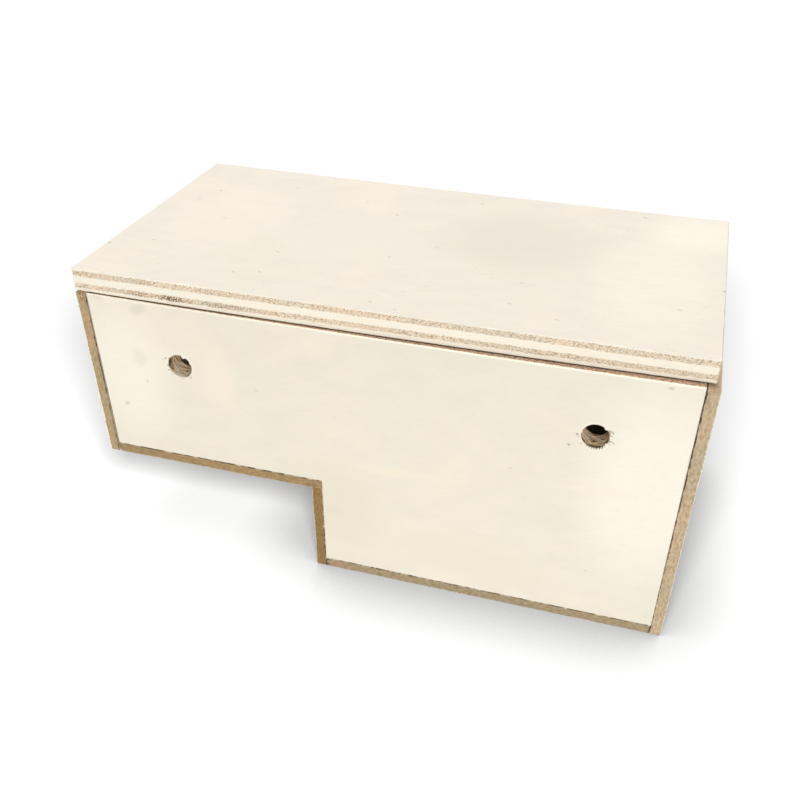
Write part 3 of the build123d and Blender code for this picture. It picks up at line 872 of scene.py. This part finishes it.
def shape_corner(bm, vertex, centre, radius, thickness, holes, rim):
    """Move one corner of a hole: torn and split at the rim, and ridged on the drilled wall."""
    away = Vector((vertex.co.x - centre.x, 0, vertex.co.z - centre.z))
    outward = away.normalized()
    depth = vertex.co.y - centre.y
    angle = atan2(away.z, away.x)
    turn = degrees(angle)
    torn = torn_share(vertex.co, centre, radius, rim.tears, holes.tear_reach)
    fray = abs(noise.noise(Vector((angle * 13, rim.seed, depth / (3 * MM)))))
    on_rim = away.length < radius + 0.5 * MM and depth < holes.comb_height
    move = 0.0
    split = 0.0
    if on_rim:
        move += holes.rim_bite * (0.3 * fray + 0.9 * torn * fray)
    if on_rim and rim.comb and rim.comb[0] < turn < rim.comb[1]:
        teeth = 0.5 + 0.5 * sin(2 * pi * away.x / holes.comb_pitch + 2 * noise.noise(outward * 3))
        ends = ramp(turn, rim.comb[0], rim.comb[0] + 14) * ramp(-turn, -rim.comb[1], -rim.comb[1] + 14)
        split = ends * ramp(teeth, 0.35, 0.65) * ramp(holes.comb_height - depth, 0, 0.5 * MM)
        move += 0.4 * holes.rim_bite * split
    if depth < 0.4 * MM and away.length < radius + 0.35 * MM:
        for at, length, width in rim.flakes:
            flake = ramp(width - turn_between(turn, at), 0, width * 0.7)
            move -= length * MM * flake * (0.75 + 0.5 * fray)
    on_wall = 0.9 * MM < depth < thickness - 0.6 * MM
    if on_wall:
        drift = noise.noise(Vector((angle * 1.5, rim.seed, depth / (4 * MM))))
        ridge = sin(2 * pi * depth / holes.ridge_pitch + angle + 3 * drift)
        grit = noise.noise(Vector((angle * 9, rim.seed, depth / (0.8 * MM))))
        move += holes.ridge * (0.6 * ridge + 1.2 * grit)
    vertex.co += outward * move
    on_face = depth < 0.05 * MM and away.length < radius + NEAR_RINGS[1] * MM
    if on_face:
        vertex.co.y += holes.tear_depth * torn
    # A pale ring round the rim: lifted fibre, partly a painted highlight.
    lifted = ramp(1.5 * MM - (away.length - radius), 0, 1.1 * MM) * (0.5 + fray)
    values = {
        "torn": 0.5 * torn if on_face else 0.0,
        "raised": 0.55 * lifted if on_face else 0.0,
        "wall": 1.0 if depth > 0.15 * MM and away.length < radius + 0.3 * MM else 0.0,
        # The split lip's notches are darkened with the groove colour: dark fibres, partly painted shade in the
        # notches.
        "groove": 0.85 * split if depth < holes.comb_height else 0.0,
    }
    for name, value in values.items():
        layer = bm.loops.layers.float[name]
        for loop in vertex.link_loops:
            loop[layer] = value


def boundary_at(bm, place, axis, slack=0.02 * MM):
    """Open edges that lie in the plane where the axis has the given value."""
    return [
        e
        for e in bm.edges
        if len(e.link_faces) < 2 and all(abs(v.co[axis] - place) < slack for v in e.verts)
    ]


class NESTBOX_OT_hanging_panel(bpy.types.Operator):
    """Make the side panel with the two drilled holes and their torn rims"""

    bl_idname = "nestbox.hanging_panel"
    bl_label = "Hanging panel"

    def execute(self, context):
        settings = context.scene.nest_box
        look, holes = settings.plywood, settings.holes
        low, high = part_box("hanging_panel")
        mount = next(m for m in frame["record"]["mounts"] if m["name"] == "hanging_holes")
        middle = Vector(mount["pos_m"])
        radius = mount["dims"]["hole_r_mm"] * MM
        spacing = mount["dims"]["spacing_x_mm"] * MM
        centres = [Vector((middle.x + side * spacing / 2, low.y, middle.z)) for side in (-1, 1)]
        bm = merged_copy("hanging_panel")
        wear_edges(bm, settings.edges, 1.0)
        self.open_flats(bm, low.y, high.y, centres, radius)
        for centre, rim in zip(centres, RIMS):
            drill_hole(bm, centre, radius, high.y - low.y, holes, rim)
        for y in (low.y, high.y):
            bmesh.ops.triangle_fill(bm, use_beauty=True, edges=boundary_at(bm, y, Y))
        bmesh.ops.recalc_face_normals(bm, faces=bm.faces[:])
        close_flats(bm)
        lid_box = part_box("lid")
        for vertex in bm.verts:
            if vertex.co.z > high.z - 1 * MM:
                vertex.co.z -= settings.edges.sag * bow(vertex.co.x, *lid_box)
        marks = PANEL_MARKS + LEFT_RIM_CRACKS_AND_PAINTED_SHADOWS + RIGHT_RIM_DEBRIS_AND_PAINTED_SHADOWS
        material = plywood_material(
            "sanded_plywood_hanging_panel", "hanging_panel", PANEL_SHARES, look.panel_face, look,
            marks=marks, contrast=1.2,
        )
        finish_piece(bm, "hanging_panel_board", "hanging_panel", material, "box")
        return {"FINISHED"}

    def open_flats(self, bm, near, far, centres, radius):
        """Take out the two flats and the plain walls of the holes, to be filled again."""

        def in_hole(place):
            """Whether a place lies in one of the holes."""
            return any(Vector((place.x - c.x, 0, place.z - c.z)).length < radius + 0.2 * MM for c in centres)

        doomed = []
        for face in bm.faces:
            centre = face.calc_center_median()
            in_flat = min(abs(centre.y - near), abs(centre.y - far)) < 0.01 * MM
            if in_hole(centre) or (in_flat and abs(face.normal.y) > 0.999):
                doomed.append(face)
        bmesh.ops.delete(bm, geom=doomed, context="FACES")
        loose = [e for e in bm.edges if not e.link_faces and in_hole(e.verts[0].co)]
        bmesh.ops.delete(bm, geom=loose, context="EDGES")


class NESTBOX_OT_entrance_panel(bpy.types.Operator):
    """Make the side panel with the bird's entrance"""

    bl_idname = "nestbox.entrance_panel"
    bl_label = "Entrance panel"

    def execute(self, context):
        settings = context.scene.nest_box
        look = settings.plywood
        bm = merged_copy("entrance_panel")
        wear_edges(bm, settings.edges, 23.0)
        close_flats(bm)
        material = plywood_material(
            "sanded_plywood_entrance_panel", "entrance_panel", PANEL_SHARES, look.panel_face, look
        )
        finish_piece(bm, "entrance_panel_board", "entrance_panel", material, "box")
        return {"FINISHED"}


class NESTBOX_OT_strips(bpy.types.Operator):
    """Make the five thin strips that wrap the side panels"""

    bl_idname = "nestbox.strips"
    bl_label = "Strips"

    def execute(self, context):
        settings = context.scene.nest_box
        look = settings.plywood
        for number, node in enumerate(STRIPS):
            low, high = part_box(node)
            axis = BOARDS[node][0]
            inner = low[axis] if node == "deep_end_panel" else high[axis]
            bm = merged_copy(node)
            wear_edges(bm, settings.edges, 40.0 + 5 * number)
            mark_joint(bm, lambda place: abs(place[axis] - inner) < 0.35 * MM)
            close_flats(bm)
            if node.endswith("floor"):
                self.close_joint(bm, low, high, settings.edges.joint)
            if node == "shallow_end_panel":
                for vertex in bm.verts:
                    down = (high.z - vertex.co.z) / (high.z - low.z)
                    vertex.co.x -= settings.edges.lean * (0.35 + 0.65 * down)
            grain = BOARDS[node][1]
            marks = STRIP_MARKS.get(node, ())
            material = plywood_material(
                "thin_plywood_" + node, node, STRIP_SHARES, look.strip_face, look,
                edge_marks=marks, pores=along(grain, 2.0, 0.85), contrast=0.36,
            )
            finish_piece(bm, node + "_board", node, material, "box")
        return {"FINISHED"}

    def close_joint(self, bm, low, high, reach):
        """Let a floor strip's free ends reach out and darken them, as glue and dust fill the joint."""
        groove = bm.loops.layers.float["groove"]
        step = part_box("step_riser")[1].x
        for vertex in bm.verts:
            at_deep_end = high.x - vertex.co.x < 0.35 * MM and high.x > step + 1 * MM
            if at_deep_end or vertex.co.x - low.x < 0.35 * MM:
                vertex.co.x += reach if at_deep_end else -reach
                for loop in vertex.link_loops:
                    loop[groove] = 1.0 if abs(loop.face.normal.x) > 0.5 else 0.0


class NESTBOX_OT_lid(bpy.types.Operator):
    """Make the lid, whose front edge hangs down a little in the middle"""

    bl_idname = "nestbox.lid"
    bl_label = "Lid"

    def execute(self, context):
        settings = context.scene.nest_box
        look = settings.plywood
        low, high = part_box("lid")
        bm = merged_copy("lid")
        cuts = 16
        for i in range(1, cuts):
            bmesh.ops.bisect_plane(
                bm,
                geom=bm.verts[:] + bm.edges[:] + bm.faces[:],
                plane_co=low.lerp(high, i / cuts),
                plane_no=(1, 0, 0),
            )
        wear_edges(bm, settings.edges, 71.0)
        close_flats(bm)
        for vertex in bm.verts:
            near = (high.y - vertex.co.y) / (high.y - low.y)
            if vertex.co.z < low.z + 0.6 * MM:
                vertex.co.z -= settings.edges.drop * near
            vertex.co.z -= settings.edges.sag * bow(vertex.co.x, low, high) * (0.5 + 0.5 * near)
        material = plywood_material(
            "sanded_plywood_lid", "lid", LID_SHARES, look.lid_face, look,
            flecks=0.05, marks=LID_MARKS, edge_marks=SCORCHES, contrast=0.8,
        )
        finish_piece(bm, "lid_board", "lid", material, "lid")
        return {"FINISHED"}


class NESTBOX_OT_hardware(bpy.types.Operator):
    """Give the hinges, screws and brads their steel"""

    bl_idname = "nestbox.hardware"
    bl_label = "Hinges, screws and brads"

    def execute(self, context):
        steel = context.scene.nest_box.steel
        finishes = (
            (LEAVES, plated_steel("zinc_plated_steel_leaf", steel.plated, 0.34, X)),
            (PINS, plated_steel("drawn_steel_pin", steel.pin, 0.3, X)),
            (SCREWS, plated_steel("zinc_plated_steel_screw", steel.plated, 0.3, Y)),
            (BRADS, plated_steel("galvanised_steel_brad", steel.brad, 0.45, Z)),
        )
        for nodes, material in finishes:
            for node in nodes:
                mesh = frame["nodes"][node].data
                mesh.materials.clear()
                mesh.materials.append(material)
        return {"FINISHED"}


class NESTBOX_OT_stage(bpy.types.Operator):
    """Set the box on a pale floor with soft light and the camera"""

    bl_idname = "nestbox.stage"
    bl_label = "Stage"

    def execute(self, context):
        stage = context.scene.nest_box.stage
        floor = self.add_floor(stage)
        self.add_light(context.scene, stage, floor)
        self.add_camera(context.scene, stage)
        context.scene.view_settings.view_transform = "Standard"
        return {"FINISHED"}

    def add_floor(self, stage):
        """White paper, matt. The camera sees it evenly white however far it lies from the lamp
        over the camera, with that lamp's soft shadow and a darker rim where the box stands."""
        material, tree, shader = new_material("matt_white_paper")
        tree.nodes.remove(shader)
        vector = add_node(tree, "TexCoord").outputs["Object"]
        fibre = grained(tree, vector, (40, 40, 40))
        paper = blend(tree, spread(tree, fibre, 0.3, 0.7, 0, 0.02), solid(stage.floor), (0, 0, 0, 1))
        matt = add_node(tree, "BsdfDiffuse", {"Color": paper})
        contact = add_node(tree, "AmbientOcclusion", {"Distance": stage.contact}, samples=8)
        white = spread(tree, contact.outputs["AO"], 0.4, 1.0, 0.5 * stage.floor_gain, stage.floor_gain)
        reach = add_node(tree, "VectorMath", {0: vector, 1: FLOOR_LAMP_PLACE}, operation="DISTANCE")
        slanting = compute(tree, "DIVIDE", stage.floor_light * FLOOR_LAMP_PLACE[Z], reach.outputs["Value"])
        light = compute(tree, "ADD", slanting, stage.sky)
        lit = add_node(tree, "BsdfDiffuse", {"Color": compute(tree, "DIVIDE", white, light)})
        glow = add_node(tree, "Emission", {"Strength": white})
        centre = (CAD_BOX[0] + CAD_BOX[1]) / 2
        away = add_node(tree, "VectorMath", {0: vector, 1: (centre.x, centre.y, 0)}, operation="DISTANCE")
        share = spread(tree, away.outputs["Value"], 0.24, 0.5, stage.floor_shade, 0.25 * stage.floor_shade)
        shown = add_node(tree, "MixShader", {0: share, 1: glow.outputs[0], 2: lit.outputs[0]})
        path = add_node(tree, "LightPath")
        seen = compute(tree, "MAXIMUM", path.outputs["Is Camera Ray"], path.outputs["Is Glossy Ray"])
        seen = compute(tree, "MAXIMUM", seen, path.outputs["Is Transmission Ray"])
        surface = add_node(tree, "MixShader", {0: seen, 1: matt.outputs[0], 2: shown.outputs[0]})
        output = next(n for n in tree.nodes if n.type == "OUTPUT_MATERIAL")
        tree.links.new(surface.outputs[0], output.inputs["Surface"])
        bm = bmesh.new()
        bmesh.ops.create_grid(bm, x_segments=1, y_segments=1, size=stage.floor_size / 2)
        bmesh.ops.translate(bm, vec=(0, 0, -0.02 * MM), verts=bm.verts[:])
        mesh = bpy.data.meshes.new("floor")
        bm.to_mesh(mesh)
        bm.free()
        mesh.materials.append(material)
        floor = bpy.data.objects.new("floor", mesh)
        bpy.context.scene.collection.objects.link(floor)
        return floor

    def add_light(self, scene, stage, floor):
        """An even white sky, a soft lamp overhead and a softer one in front for the box, and one
        over the camera for the floor alone, so that the box's shadow stays close about it."""
        world = bpy.data.worlds.new("studio")
        world.use_nodes = True
        tree = world.node_tree
        tree.nodes.clear()
        path = add_node(tree, "LightPath")
        seen = compute(tree, "MAXIMUM", path.outputs["Is Camera Ray"], path.outputs["Is Glossy Ray"])
        strength = add_node(tree, "MapRange", {"Value": seen, "To Min": stage.sky, "To Max": 1.0})
        sky = add_node(tree, "Background", {"Color": (1, 1, 1, 1), "Strength": strength.outputs[0]})
        output = add_node(tree, "OutputWorld")
        tree.links.new(sky.outputs[0], output.inputs["Surface"])
        scene.world = world
        lamps = (
            self.add_lamp(scene, "top_light", stage.top, 16, (-0.04, 0.12, 1)),
            self.add_lamp(scene, "front_light", stage.front, 32, (0.3, -0.9, 0.3)),
        )
        only_floor = bpy.data.collections.new("only_floor")
        only_floor.objects.link(floor)
        all_but_floor = bpy.data.collections.new("all_but_floor")
        all_but_floor.objects.link(floor)
        all_but_floor.collection_objects[0].light_linking.link_state = "EXCLUDE"
        for lamp in lamps:
            lamp.light_linking.receiver_collection = all_but_floor
        bulb = bpy.data.lights.new("floor_light", "POINT")
        bulb.energy = stage.floor_light * 4 * pi**2
        bulb.shadow_soft_size = 55 * MM
        bulb.use_nodes = True
        tree = bulb.node_tree
        tree.nodes.clear()
        even = add_node(tree, "LightFalloff", {"Strength": 1.0}).outputs["Constant"]
        glow = add_node(tree, "Emission", {"Strength": even})
        tree.links.new(glow.outputs[0], add_node(tree, "OutputLight").inputs["Surface"])
        lamp = bpy.data.objects.new("floor_light", bulb)
        lamp.location = FLOOR_LAMP_PLACE
        scene.collection.objects.link(lamp)
        lamp.light_linking.receiver_collection = only_floor

    def add_lamp(self, scene, name, share, width, direction):
        """One distant soft lamp; it lights a white sheet that faces it to the given share of white."""
        lamp = bpy.data.lights.new(name, "SUN")
        lamp.angle = radians(width)
        lamp.energy = share * pi
        holder = bpy.data.objects.new(name, lamp)
        holder.rotation_euler = Vector(direction).to_track_quat("Z", "Y").to_euler()
        scene.collection.objects.link(holder)
        return holder

    def add_camera(self, scene, stage):
        """The camera stands where the photograph was taken from."""
        data = bpy.data.cameras.new("camera")
        data.sensor_width = 36
        data.lens = stage.lens
        data.shift_x = -0.01513
        data.shift_y = 0.09593
        data.clip_start = 0.01
        data.clip_end = 20
        camera = bpy.data.objects.new("camera", data)
        camera.location = CAMERA_PLACE
        camera.rotation_euler = (radians(52.647), radians(-0.584), radians(16.378))
        scene.collection.objects.link(camera)
        scene.camera = camera


OPERATORS = (
    NESTBOX_OT_hanging_panel,
    NESTBOX_OT_entrance_panel,
    NESTBOX_OT_strips,
    NESTBOX_OT_lid,
    NESTBOX_OT_hardware,
    NESTBOX_OT_stage,
)


class NESTBOX_PT_main(bpy.types.Panel):
    """Lists the pieces of the nest box"""

    bl_idname = "NESTBOX_PT_main"
    bl_label = "Nest box"
    bl_space_type = "VIEW_3D"
    bl_region_type = "UI"
    bl_category = "Nest box"

    def draw(self, context):
        for operator in OPERATORS:
            self.layout.operator(operator.bl_idname)
        settings = context.scene.nest_box
        for group in (settings.plywood, settings.edges, settings.holes, settings.steel, settings.stage):
            box = self.layout.box()
            for name in group.__annotations__:
                box.prop(group, name)


CLASSES = (
    PlywoodSettings,
    EdgeSettings,
    HoleSettings,
    SteelSettings,
    StageSettings,
    NestBoxSettings,
    *OPERATORS,
    NESTBOX_PT_main,
)


def register():
    for cls in CLASSES:
        bpy.utils.register_class(cls)
    bpy.types.Scene.nest_box = PointerProperty(type=NestBoxSettings)


def unregister():
    del bpy.types.Scene.nest_box
    for cls in reversed(CLASSES):
        bpy.utils.unregister_class(cls)


def main():
    """Make every piece and the stage."""
    register()
    for operator in OPERATORS:
        group, name = operator.bl_idname.split(".")
        getattr(getattr(bpy.ops, group), name)()


if __name__ == "__main__":
    main()
